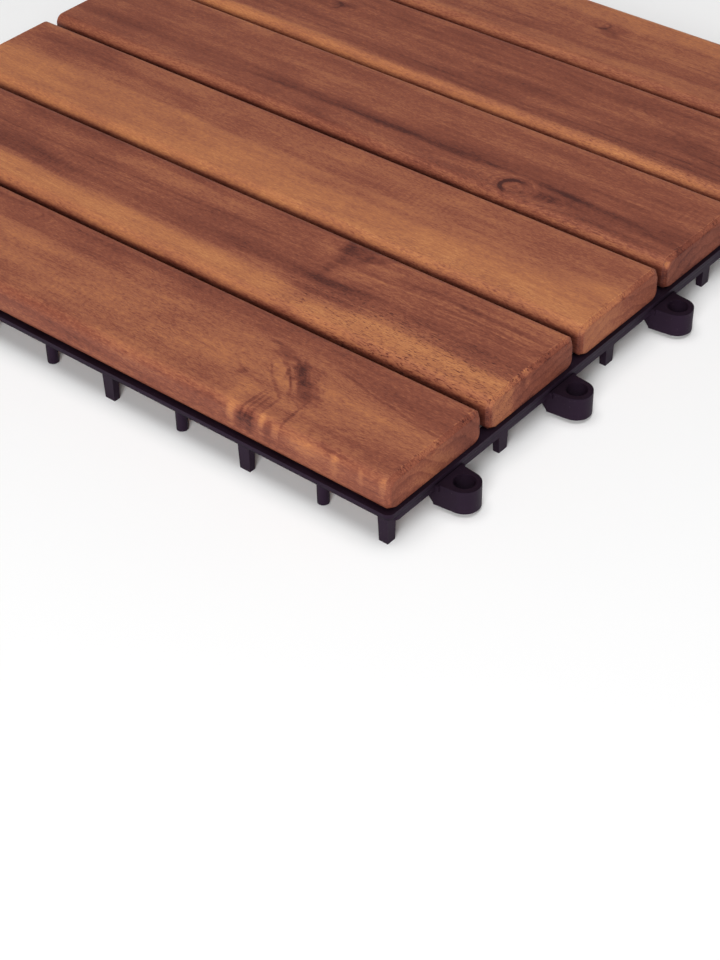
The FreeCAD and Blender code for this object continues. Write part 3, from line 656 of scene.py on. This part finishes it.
def new_material(name):
    """An empty material, its tree, its shader and the surface's place in millimetres."""
    material = bpy.data.materials.new(name)
    material.use_nodes = True
    tree = material.node_tree
    tree.nodes.clear()
    shader = put(tree, "ShaderNodeBsdfPrincipled")
    put(tree, "ShaderNodeOutputMaterial", {0: Value(tree, shader.outputs[0])})
    place = take(tree, "ShaderNodeTexCoord", output="Object") * (1 / MM, 1 / MM, 1 / MM)
    return material, tree, shader, place


def make_slat_wood(node, look, finish, groups):
    """The oiled wood of one slat, with its own figure, knots, stains and lines."""
    low, high = (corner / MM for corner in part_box(node))
    centre, half, top = (low + high) / 2, (high - low) / 2, high.z
    material, tree, shader, place = new_material("oiled_wood_" + node)
    knots = [use_group(tree, groups["knot"], {
        "Place": place, "Centre": (x, y, top), "Radius": radius, "Reach": reach,
        "Dark Side": (math.cos(math.radians(side)), math.sin(math.radians(side)), 0.0),
    }) for x, y, radius, reach, _, side in look["knots"]]
    lift = add_up([knot["Lift"] for knot in knots]) if knots else 0.0
    side, depth, lean = look["pith"]
    figure = use_group(tree, groups["figure"], {
        "Place": place, "Seed": look["seed"], "Lift": lift, "Wander": finish.wander / MM,
        "Ring Width": finish.ring_width / MM, "Pith Side": centre.y + side,
        "Pith Depth": depth, "Pith Lean": lean,
    })
    x, y, _ = parts_of(place)
    across = span(y + lift + figure["Drift"] * 0.45, low.y, high.y)
    tone = ramp(across, [(share, (level,) * 3) for share, level in look["across"]], "EASE")
    wear_and_gap_shade = use_group(tree, groups["wear_and_gap_shade"], {
        "Place": place, "Centre": tuple(centre), "Half Size": tuple(half), "Width": 3.4,
    })
    off_ends = calc("MULTIPLY_ADD", wear_and_gap_shade["Ends"], -0.7, 1.0)

    def shown(value, strength):
        """A cloudy value as a change of tone, fainter on the sawn ends."""
        return (value - 0.5) * strength * off_ends

    def patch(area, depth, **settings):
        """An oval on the slat's top, from its middle and half sizes, down to a depth."""
        x_mid, y_mid, half_length, half_width = area
        return use_group(tree, groups["stain"], {
            "Place": place, "Centre": (x_mid, y_mid, top),
            "Half Size": (half_length, half_width, depth), **settings,
        })["Mask"]

    *curl_area, curl_strength = look["curl"]
    changes = [
        tone,
        shown(figure["Bands"], look["bands"] * finish.contrast),
        shown(figure["Clouds"], 0.22),
        shown(figure["Streaks"], look["streaks"] * finish.contrast),
        shown(figure["Fibres"], finish.grain),
        figure["Rings"] * (-look["rings"] * finish.contrast),
        shown(figure["Curl"], curl_strength) * patch(curl_area, 12.0),
    ]
    for *area, turn, lighter in look["stains"]:
        changes.append(patch(area, 9.0, Turn=math.radians(turn)) * lighter)
    for x_start, y_start, x_end, y_end, bow, width, lighter in look["lines"]:
        line = use_group(tree, groups["line"], {
            "Place": place, "Start": (x_start, y_start, top), "End": (x_end, y_end, top),
            "Bow": bow, "Width": width,
        })
        changes.append(line["Mask"] * lighter)
    for knot, (*_, darkness, _) in zip(knots, look["knots"]):
        changes += [
            knot["Halo"] * (0.02 * darkness),
            knot["Eye"] * knot["Rings"] * (-0.06 * darkness),
            knot["Heart"] * (-0.36 * darkness),
        ]
    flecks = figure["Pores"] * (patch(look["fleck_area"], 30.0) + 0.22)
    ripple_area = patch(look["ripple"], 6.0, Raggedness=0.3)
    ripple = calc("SINE", x * 2.6 + y * 0.25) * ripple_area
    changes += [flecks * -look["flecks"], ripple * 0.025]
    changes += [wear_and_gap_shade[label] * lighter for label, lighter in WEAR_TONES.items()]
    pits = noise(place * (0.3, 1.3, 1.8), 3.0, 0.75)
    end_figure = (pits - 0.5) * 0.7 + figure["Rings"] * -0.10
    nick = take(tree, "ShaderNodeAttribute", output="Fac", attribute_name="nick")
    changes += [
        end_figure * wear_and_gap_shade["Ends"],
        # painted shade on the walls down in the gaps
        wear_and_gap_shade[look["gaps"]] * -finish.gap_shade,
        nick * -0.20,
    ]
    colour = ramp(add_up(changes), (
        (0.0, finish.heart), (0.22, finish.umber), (0.45, finish.brown), (0.62, finish.tan),
        (0.80, finish.amber), (1.0, finish.gold)))
    gloss = add_up((finish.roughness, figure["Fibres"] * 0.14, wear_and_gap_shade["Ends"] * 0.15,
                    figure["Bands"] * -0.08))
    height = (figure["Fibres"] * 0.5 + flecks * -0.9 + figure["Streaks"] * 0.5 + ripple * 0.35)
    feed(tree, shader, {
        "Base Color": colour, "Roughness": gloss, "Specular IOR Level": WOOD_SPECULAR,
        "Normal": take(tree, "ShaderNodeBump", {
            "Strength": 0.55, "Distance": 0.08 * MM, "Height": height}),
    })
    return material


def make_grid_plastic(finish, skin_group):
    """The black moulded plastic of the grid, with painted light on its upright faces and a painted
    shadow line in the rim's step.
    """
    material, tree, shader, place = new_material("black_plastic")
    skin = use_group(tree, skin_group, {"Place": place, "Grain Size": 0.45, "Mottle Size": 12.0})
    _, _, height = parts_of(place)
    _, _, facing_up = parts_of(take(tree, "ShaderNodeNewGeometry", output="Normal"))
    upright = fade(abs(facing_up), 0.3, 0.7, "LINEAR")
    off_step = abs(height - finish.step_height / MM)
    # Painted shadow: a dark line on upright faces at the step, where the rim's edge shades the skirt.
    step = span(off_step, 0.2, 0.5, 0.8, 0.0, SMOOTH) * upright
    # Painted light: upright faces are made paler, as if lit by the white floor; the mottle's share is
    # real rubbing.
    lit_and_rubbed_share = calc("MULTIPLY_ADD", upright, 0.5, skin["Mottle"] * 0.35)
    plain = tint(lit_and_rubbed_share, solid(finish.colour), solid(finish.pale))
    base = tint(step, plain, solid(STEP_SHADOW))
    groove = fade(off_step, 0.0, 0.4) * upright
    seam = take(tree, "ShaderNodeBump", {
        "Strength": 0.8, "Distance": -0.3 * MM, "Height": groove})
    feed(tree, shader, {
        "Base Color": tint(skin["Specks"] * 0.5, base, solid(DUST)),
        "Roughness": add_up((finish.roughness, skin["Mottle"] * 0.12)),
        "Specular IOR Level": PLASTIC_SPECULAR, "Specular Tint": solid(PLASTIC_SHEEN),
        "Normal": take(tree, "ShaderNodeBump", {
            "Strength": 0.35, "Distance": 0.03 * MM, "Height": skin["Grain"], "Normal": seam}),
    })
    return material


def make_screw_metal(finish, skin_group):
    """Zinc-plated steel with fine marks."""
    material, tree, shader, place = new_material("zinc_plated_steel")
    skin = use_group(tree, skin_group, {"Place": place, "Grain Size": 0.2, "Mottle Size": 2.2})
    feed(tree, shader, {
        "Base Color": tint(skin["Mottle"], solid(finish.colour), solid(DULL_ZINC)),
        "Roughness": span(skin["Mottle"], 0.0, 1.0, 0.28, 0.46), "Metallic": 1.0,
        "Normal": take(tree, "ShaderNodeBump", {
            "Strength": 0.3, "Distance": 0.02 * MM, "Height": skin["Grain"]}),
    })
    return material


# shapes made by rules

def end_shape(tree, way_in, shape):
    """Ends a shape's tree: real geometry in the piece's material."""
    real = take(tree, "GeometryNodeRealizeInstances", {0: shape})
    dressed = take(tree, "GeometryNodeSetMaterial", {
        "Geometry": real, "Material": way_in["Material"]})
    return end_tree(tree, {"Shape": dressed}, "NodeSocketGeometry")


def make_slat_tree():
    """One slat: a block whose long edges are rounded and whose ends are eased and nicked."""
    tree, way_in = new_tree("slat", "GeometryNodeTree", {
        "Size": (0.3, 0.047, 0.012), "Centre": ORIGIN, "Top Radius": 0.0035,
        "Bottom Radius": 0.003, "End Ease": 0.0015, "End Zone": 0.008, "Wave": 0.0001,
        "Nick Depth": 0.0005, "Chip Place": ORIGIN, "Chip Size": 0.002, "Seed": 0.0,
        "Material": None,
    })
    steps_along, steps_end, steps_ease = 120, 16, 6
    steps_across, steps_round, steps_up = 60, 7, 22
    block = take(tree, "GeometryNodeMeshCube", {
        "Size": (2.0, 2.0, 2.0), "Vertices X": steps_along + 1, "Vertices Y": steps_across + 1,
        "Vertices Z": steps_up + 1})
    x, y, z = parts_of(take(tree, "GeometryNodeInputPosition"))
    half_length, half_width, half_thick = (side * 0.5 for side in parts_of(way_in["Size"]))
    ease, zone = way_in["End Ease"], way_in["End Zone"]
    middle_share = 1 - 2 * (steps_end + steps_ease) / steps_along
    ease_share = 1 - 2 * steps_ease / steps_along
    x_off = abs(x)
    run = (span(x_off, 0.0, middle_share, 0.0, half_length - zone)
           + span(x_off, middle_share, ease_share, 0.0, zone - ease))
    slope = span(x_off, ease_share, 1.0) * ease
    inset = slope * 0.9
    upper = calc("GREATER_THAN", z, 0.0)
    radius = calc("MULTIPLY_ADD", upper, way_in["Top Radius"] - way_in["Bottom Radius"],
                  way_in["Bottom Radius"])
    y_off, z_off = abs(y), abs(z)
    y_share = 1 - 2 * steps_round / steps_across
    z_share = 1 - 2 * steps_round / steps_up
    y_flat = span(y_off, 0.0, y_share, 0.0, half_width - radius)
    z_flat = span(z_off, 0.0, z_share, 0.0, half_thick - radius)
    y_turn = span(y_off, y_share, 1.0, 0.0, radius)
    z_turn = span(z_off, z_share, 1.0, 0.0, radius)
    reach = calc("SQRT", y_turn * y_turn + z_turn * z_turn)
    pull = calc("MAXIMUM", y_turn, z_turn) / calc("MAXIMUM", reach, 0.000001)
    y_far = calc("MULTIPLY_ADD", y_turn, pull, y_flat)
    z_far = calc("MULTIPLY_ADD", z_turn, pull, z_flat)
    y_slim = y_far - inset * (y_far / half_width)
    z_inset = inset * calc("MULTIPLY_ADD", upper, 0.6, 0.4)
    z_slim = z_far - z_inset * (z_far / half_thick)
    place = way_in["Centre"] + point(
        calc("SIGN", x) * (slope + run), calc("SIGN", y) * y_slim, calc("SIGN", z) * z_slim)
    creases = calc("MAXIMUM", calc("COMPARE", x_off, ease_share, 0.001),
                   calc("COMPARE", x_off, 1.0, 0.001))
    creased = take(tree, "GeometryNodeSetShadeSmooth", {
        "Geometry": block, "Selection": creases, "Shade Smooth": False}, domain="EDGE")
    shaped = take(tree, "GeometryNodeSetPosition", {"Geometry": creased, "Position": place})

    spot = take(tree, "GeometryNodeInputPosition")
    seed = way_in["Seed"]
    start = point(seed, seed * 1.7, seed * 2.9)
    slow = noise(calc("MULTIPLY_ADD", spot, (9.0, 40.0, 40.0), start), 2.0)
    x_side, _, z_side = parts_of(spot - way_in["Centre"])
    edge_gap = half_length - abs(x_side) + (half_thick - z_side)
    teeth = noise(calc("MULTIPLY_ADD", spot, (170.0, 330.0, 170.0), start), 3.0, 0.7)
    nick = fade(edge_gap, 0.0020, 0.0030) * span(teeth, 0.60, 0.68, kind=SMOOTH)
    chip_gap = calc("DISTANCE", spot, way_in["Chip Place"])
    chip = calc("MAXIMUM", way_in["Chip Size"] - chip_gap, 0.0)
    depth = (slow - 0.5) * way_in["Wave"] - (nick * way_in["Nick Depth"] + chip)
    offset = take(tree, "ShaderNodeVectorMath", {
        0: take(tree, "GeometryNodeInputNormal"), 3: depth}, operation="SCALE")
    fresh = span(chip, 0.0, 0.0004) * -1.0
    marked = take(tree, "GeometryNodeStoreNamedAttribute", {
        "Geometry": shaped, "Name": "nick", "Value": nick + fresh,
    }, data_type="FLOAT", domain="POINT")
    worn = take(tree, "GeometryNodeSetPosition", {"Geometry": marked, "Offset": offset})
    smooth = take(tree, "GeometryNodeSetShadeSmooth", {"Geometry": worn})
    return end_shape(tree, way_in, smooth)


def make_screw_tree():
    """A row and column of screws with flanged hexagonal heads, cross recesses and threads."""
    tree, way_in = new_tree("screws", "GeometryNodeTree", {
        "Rows Apart": 0.24, "Across Rows": 0.25, "Count Along": 2, "Count Across": 6,
        "Seat": 0.0098, "Length": 0.011, "Flats": 0.0055, "Head Height": 0.0017,
        "Shank Radius": 0.0013, "Pitch": 0.0012, "Seed": 3, "Material": None,
    })

    def cone(sides, top, bottom, depth):
        """A cone or prism that stands on the ground."""
        return take(tree, "GeometryNodeMeshCone", {
            "Vertices": sides, "Radius Top": top, "Radius Bottom": bottom, "Depth": depth})

    def raised(shape, height):
        """The shape moved up."""
        return take(tree, "GeometryNodeTransform", {
            "Geometry": shape, "Translation": point(0.0, 0.0, height)})

    def cut(operation, shapes, **first):
        """Shapes joined, or taken out of a first one."""
        return take(tree, "GeometryNodeMeshBoolean", {**first, "Mesh 2": shapes},
                    operation=operation, solver="EXACT")

    flats, head_height = way_in["Flats"], way_in["Head Height"]
    corner = flats * (0.5 / math.cos(math.radians(30)))
    flange_height = head_height * 0.26
    hex_height = head_height * 0.56
    below_flange = flange_height + hex_height
    hexagon = cone(6, corner, corner, hex_height)
    crown = cone(6, corner, corner * 0.82, head_height - below_flange)
    flange = cone(32, corner * 1.04, corner * 0.98, flange_height)
    bar = take(tree, "GeometryNodeMeshCube", {
        "Size": point(flats * 0.56, flats * 0.14, head_height)})
    turned_bar = take(tree, "GeometryNodeTransform", {
        "Geometry": bar, "Rotation": (0.0, 0.0, math.pi / 2)})
    cross = cut("UNION", [bar, turned_bar])
    solid_head = cut("UNION", [
        raised(hexagon, below_flange * -1.0), raised(crown, head_height * -1.0),
        raised(flange, flange_height * -1.0)])
    head = cut("DIFFERENCE", [raised(cross, head_height * -1.06)], **{"Mesh 1": solid_head})

    core_radius = way_in["Shank Radius"] * 0.76
    tip_length = way_in["Length"] * 0.22
    tip_radius = 0.0001
    core_length = way_in["Length"] - tip_length
    helix = take(tree, "GeometryNodeCurveSpiral", {
        "Resolution": 20, "Rotations": core_length / way_in["Pitch"],
        "Start Radius": core_radius, "End Radius": core_radius, "Height": core_length})
    tooth = take(tree, "GeometryNodeCurvePrimitiveCircle", {
        "Resolution": 3, "Radius": way_in["Shank Radius"] * 0.26}, mode="RADIUS")
    thread = take(tree, "GeometryNodeCurveToMesh", {
        "Curve": helix, "Profile Curve": tooth, "Fill Caps": True})
    screw = take(tree, "GeometryNodeJoinGeometry", {0: [
        head, cone(20, core_radius, core_radius, core_length),
        raised(cone(20, tip_radius, core_radius, tip_length), core_length), thread]})
    rows = take(tree, "GeometryNodeMeshGrid", {
        "Size X": way_in["Rows Apart"], "Size Y": way_in["Across Rows"],
        "Vertices X": way_in["Count Along"], "Vertices Y": way_in["Count Across"]})
    turn = take(tree, "FunctionNodeRandomValue", {
        "Min": ORIGIN, "Max": (0.0, 0.0, 2 * math.pi), "Seed": way_in["Seed"],
    }, data_type="FLOAT_VECTOR")
    planted = take(tree, "GeometryNodeInstanceOnPoints", {
        "Points": rows, "Instance": screw, "Rotation": turn})
    return end_shape(tree, way_in, raised(planted, way_in["Seat"]))


def make_piece(name, tree, values):
    """Runs a shape's tree once with these values and keeps the result as a plain mesh."""
    piece = bpy.data.objects.new(name, bpy.data.meshes.new(name + "_start"))
    bpy.context.scene.collection.objects.link(piece)
    modifier = piece.modifiers.new("shape", "NODES")
    modifier.node_group = tree
    for item in tree.interface.items_tree:
        if item.in_out == "INPUT" and item.name in values:
            modifier[item.identifier] = values[item.name]
    graph = bpy.context.evaluated_depsgraph_get()
    mesh = bpy.data.meshes.new_from_object(
        piece.evaluated_get(graph), preserve_all_data_layers=True, depsgraph=graph)
    if not mesh.polygons:
        raise RuntimeError(name + " came out empty")
    piece.modifiers.clear()
    piece.data = mesh
    mesh.name = name
    return piece


def wood_groups():
    """The shader groups that the slats share."""
    return {
        "figure": make_board_figure(), "knot": make_knot(), "stain": make_stain(),
        "line": make_grain_line(), "wear_and_gap_shade": make_edge_wear_and_gap_shade(),
    }


def shared_skin():
    """The shader group that plastic and plating share, made once."""
    return bpy.data.node_groups.get("moulded skin") or make_moulded_skin()


# operators

class DECKTILE_OT_slats(bpy.types.Operator):
    """Makes the six hardwood slats"""
    bl_idname = "decktile.slats"
    bl_label = "Make slats"

    def execute(self, context):
        settings = context.scene.deck_tile
        shape = settings.slats
        groups = wood_groups()
        tree = make_slat_tree()
        for node in SLAT_NODES:
            look = SLAT_LOOKS[node]
            low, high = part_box(node)
            *chip_place, chip_size = look["chip"]
            piece = make_piece("wood_" + node, tree, {
                "Size": tuple(high - low),
                "Centre": tuple((low + high) / 2),
                "Top Radius": shape.top_radius,
                "Bottom Radius": shape.bottom_radius,
                "End Ease": shape.end_ease,
                "Wave": shape.wave,
                "Nick Depth": shape.nick_depth,
                "Chip Place": tuple(Vector(chip_place) * MM),
                "Chip Size": chip_size * MM,
                "Seed": look["seed"],
                "Material": make_slat_wood(node, look, settings.wood, groups),
            })
            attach(piece, "root")
            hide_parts(node)
        return {"FINISHED"}


class DECKTILE_OT_grid(bpy.types.Operator):
    """Dresses the moulded grid"""
    bl_idname = "decktile.grid"
    bl_label = "Dress grid"

    def execute(self, context):
        settings = context.scene.deck_tile
        plastic = make_grid_plastic(settings.grid, shared_skin())
        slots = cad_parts["base_grid"].data.materials
        slots.clear()
        slots.append(plastic)
        return {"FINISHED"}


class DECKTILE_OT_screws(bpy.types.Operator):
    """Makes the screws that hold the slats"""
    bl_idname = "decktile.screws"
    bl_label = "Make screws"

    def execute(self, context):
        shape = context.scene.deck_tile.screws
        low, high = SCREW_BOX
        slat_lows = [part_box(node)[0].y for node in SLAT_NODES]
        corner = shape.flats / 2 / math.cos(math.radians(30))
        piece = make_piece("hex_screws", make_screw_tree(), {
            "Rows Apart": high.x - low.x - 2 * corner,
            "Across Rows": max(slat_lows) - min(slat_lows),
            "Count Along": 2,
            "Count Across": len(SLAT_NODES),
            "Seat": low.z + shape.head_height,
            "Length": high.z - low.z - shape.head_height,
            "Flats": shape.flats,
            "Head Height": shape.head_height,
            "Shank Radius": shape.shank_radius,
            "Pitch": shape.pitch,
            "Seed": 3,
            "Material": make_screw_metal(shape, shared_skin()),
        })
        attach(piece, "root")
        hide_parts("screws")
        return {"FINISHED"}


# floor, light and camera, in metres

FLOOR_REACH = 6.0
LAMP_AIM = (0.10, -0.10, 0.0)
TOP_LAMP_PLACE, TOP_LAMP_SIZE = (0.10, -0.10, 2.0), 1.7
FRONT_LAMP_PLACE, FRONT_LAMP_SIZE = (0.95, -1.64, 1.10), 1.0
SURROUNDINGS_FADE = (0.12, 0.50)


def make_floor(look):
    """A wide pale floor that can be looked through from below."""
    side = FLOOR_REACH
    mesh = bpy.data.meshes.new("floor")
    corners = [(-side, -side, 0.0), (side, -side, 0.0), (side, side, 0.0), (-side, side, 0.0)]
    mesh.from_pydata(corners, [], [(0, 1, 2, 3)])
    floor = bpy.data.objects.new("floor", mesh)
    bpy.context.scene.collection.objects.link(floor)
    material, tree, shader, _ = new_material("floor")
    feed(tree, shader, {
        "Base Color": solid(look.floor_colour), "Roughness": 0.9, "Specular IOR Level": 0.1})
    mix = take(tree, "ShaderNodeMixShader", {
        0: take(tree, "ShaderNodeNewGeometry", output="Backfacing"),
        1: Value(tree, shader.outputs[0]), 2: take(tree, "ShaderNodeBsdfTransparent")})
    output = next(node for node in tree.nodes if node.type == "OUTPUT_MATERIAL")
    feed(tree, output, {0: mix})
    mesh.materials.append(material)


def make_lamp(name, place, size, power):
    """A large soft lamp."""
    light = bpy.data.lights.new(name, "AREA")
    light.shape = "DISK"
    light.size = size
    light.energy = power
    lamp = bpy.data.objects.new(name, light)
    bpy.context.scene.collection.objects.link(lamp)
    lamp.location = place
    lamp.rotation_mode = "QUATERNION"
    lamp.rotation_quaternion = (Vector(LAMP_AIM) - Vector(place)).to_track_quat("-Z", "Y")


def make_surroundings(look):
    """White surroundings at the floor's level that turn grey overhead."""
    world = bpy.data.worlds.new("studio")
    bpy.context.scene.world = world
    world.use_nodes = True
    tree = world.node_tree
    tree.nodes.clear()
    _, _, up = parts_of(take(tree, "ShaderNodeTexCoord", output="Generated"))
    level = span(up, *SURROUNDINGS_FADE, look.horizon, look.zenith, SMOOTH)
    background = take(tree, "ShaderNodeBackground", {
        "Color": solid((1.0, 1.0, 1.0)), "Strength": level})
    put(tree, "ShaderNodeOutputWorld", {0: background})


def make_camera(look):
    """The photograph's camera."""
    lens = bpy.data.cameras.new("camera")
    lens.lens = look.lens
    lens.sensor_width = 36.0
    lens.sensor_fit = "AUTO"
    lens.dof.use_dof = False
    lens.clip_start = 0.01
    lens.clip_end = 50.0
    camera = bpy.data.objects.new("camera", lens)
    bpy.context.scene.collection.objects.link(camera)
    place = Vector(look.camera_place)
    facing = (Vector(look.camera_aim) - place).to_track_quat("-Z", "Y").to_matrix().to_4x4()
    tip = Vector((0.0, 0.0, 1.0))
    camera.location = place
    camera.rotation_mode = "QUATERNION"
    camera.rotation_quaternion = facing.to_quaternion() @ Quaternion(tip, -look.camera_roll)
    bpy.context.scene.camera = camera


class DECKTILE_OT_stage(bpy.types.Operator):
    """Sets the floor, light and camera"""
    bl_idname = "decktile.stage"
    bl_label = "Set stage"

    def execute(self, context):
        look = context.scene.deck_tile.stage
        make_floor(look)
        make_surroundings(look)
        make_lamp("top lamp", TOP_LAMP_PLACE, TOP_LAMP_SIZE, look.top_power)
        make_lamp("front lamp", FRONT_LAMP_PLACE, FRONT_LAMP_SIZE, look.front_power)
        make_camera(look)
        context.scene.view_settings.view_transform = "Standard"
        return {"FINISHED"}


class DECKTILE_PT_panel(bpy.types.Panel):
    """The tile's settings and steps"""
    bl_idname = "DECKTILE_PT_panel"
    bl_label = "Deck tile"
    bl_space_type = "VIEW_3D"
    bl_region_type = "UI"
    bl_category = "Deck tile"

    def draw(self, context):
        settings = context.scene.deck_tile
        for operator, group in STEPS:
            box = self.layout.box()
            box.operator(operator.bl_idname)
            for name in group:
                part = getattr(settings, name)
                for prop in part.bl_rna.properties:
                    if prop.identifier not in {"rna_type", "name"}:
                        box.prop(part, prop.identifier)


STEPS = (
    (DECKTILE_OT_slats, ("slats", "wood")),
    (DECKTILE_OT_grid, ("grid",)),
    (DECKTILE_OT_screws, ("screws",)),
    (DECKTILE_OT_stage, ("stage",)),
)
CLASSES = (
    SlatShape, WoodFinish, GridFinish, ScrewShape, StageLook, DeckTileSettings,
    *(operator for operator, _ in STEPS), DECKTILE_PT_panel,
)


def register():
    """Makes the classes and the tile's settings known."""
    for item in CLASSES:
        bpy.utils.register_class(item)
    bpy.types.Scene.deck_tile = bpy.props.PointerProperty(type=DeckTileSettings)


def unregister():
    """Takes them away again."""
    del bpy.types.Scene.deck_tile
    for item in reversed(CLASSES):
        bpy.utils.unregister_class(item)


def main():
    """Makes the whole tile."""
    register()
    for operator, _ in STEPS:
        group, step = operator.bl_idname.split(".")
        getattr(getattr(bpy.ops, group), step)()


if __name__ == "__main__":
    main()
